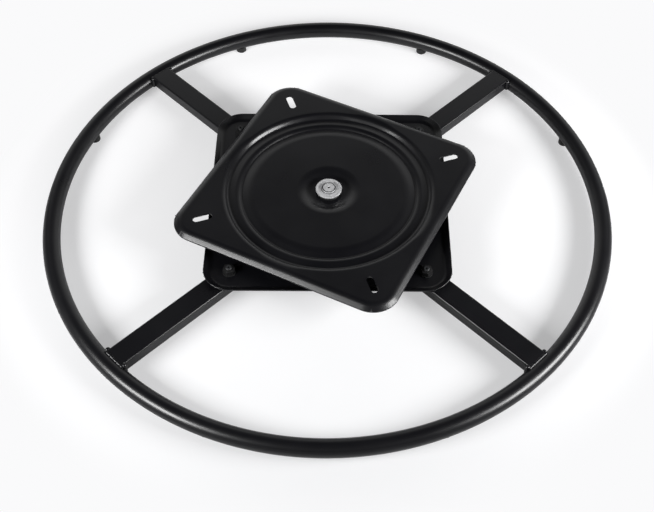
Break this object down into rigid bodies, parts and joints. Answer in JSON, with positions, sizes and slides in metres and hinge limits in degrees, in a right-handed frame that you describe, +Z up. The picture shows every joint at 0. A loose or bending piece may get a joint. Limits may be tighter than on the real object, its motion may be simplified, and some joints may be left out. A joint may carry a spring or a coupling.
{
  "type": "swivel plate",
  "caption": "Swivel base for a chair: tube floor ring with a welded flat-tube cross and a ball-bearing swivel of two pressed square steel plates on a central rivet.",
  "frame": {"origin": "on the floor, under the middle of the ring", "axes": "+Z up along the swivel axis, X and Y along the two pairs of slots in the top plate at rest"},
  "size_m": [0.7299, 0.73, 0.053],
  "materials": {
    "black_coat": "satin black powder coat on steel",
    "black_oxide": "black oxide on steel fasteners",
    "zinc_steel": "bright zinc plate",
    "bearing_steel": "polished bearing steel",
    "black_nylon": "moulded black nylon",
    "natural_nylon": "moulded natural nylon"
  },
  "bodies": {
    "base": {"ring_tube": "black_coat", "glide_1": "black_nylon", "glide_2": "black_nylon", "glide_3": "black_nylon", "glide_4": "black_nylon", "glide_5": "black_nylon", "glide_6": "black_nylon", "glide_7": "black_nylon", "glide_8": "black_nylon", "long_bar": "black_coat", "short_bar_left": "black_coat", "short_bar_right": "black_coat", "ring_welds": "black_coat", "cross_welds": "black_coat", "bottom_plate": "black_coat", "base_bolts": "black_oxide", "base_bolt_washers": "black_oxide", "base_bolt_nuts": "black_oxide", "center_rivet": "zinc_steel", "rivet_washer": "zinc_steel", "lower_rivet_washer": "zinc_steel", "thrust_washer": "natural_nylon"},
    "ball_ring": {"ball_cage": "natural_nylon", "bearing_balls": "bearing_steel"},
    "turntable": {"top_plate": "black_coat", "hub_bush": "black_nylon"}
  },
  "joints": [
    {"name": "swivel", "type": "hinge", "parent": "base", "child": "turntable", "pos_m": [0, 0, 0.04], "axis": [0, 0, 1], "continuous": true},
    {"name": "ball_ring_turn", "type": "hinge", "parent": "base", "child": "ball_ring", "pos_m": [0, 0, 0.04], "axis": [0, 0, 1], "continuous": true}
  ],
  "couplings": [
    {"joint": "ball_ring_turn", "follows": "swivel", "ratio": 0.5}
  ]
}
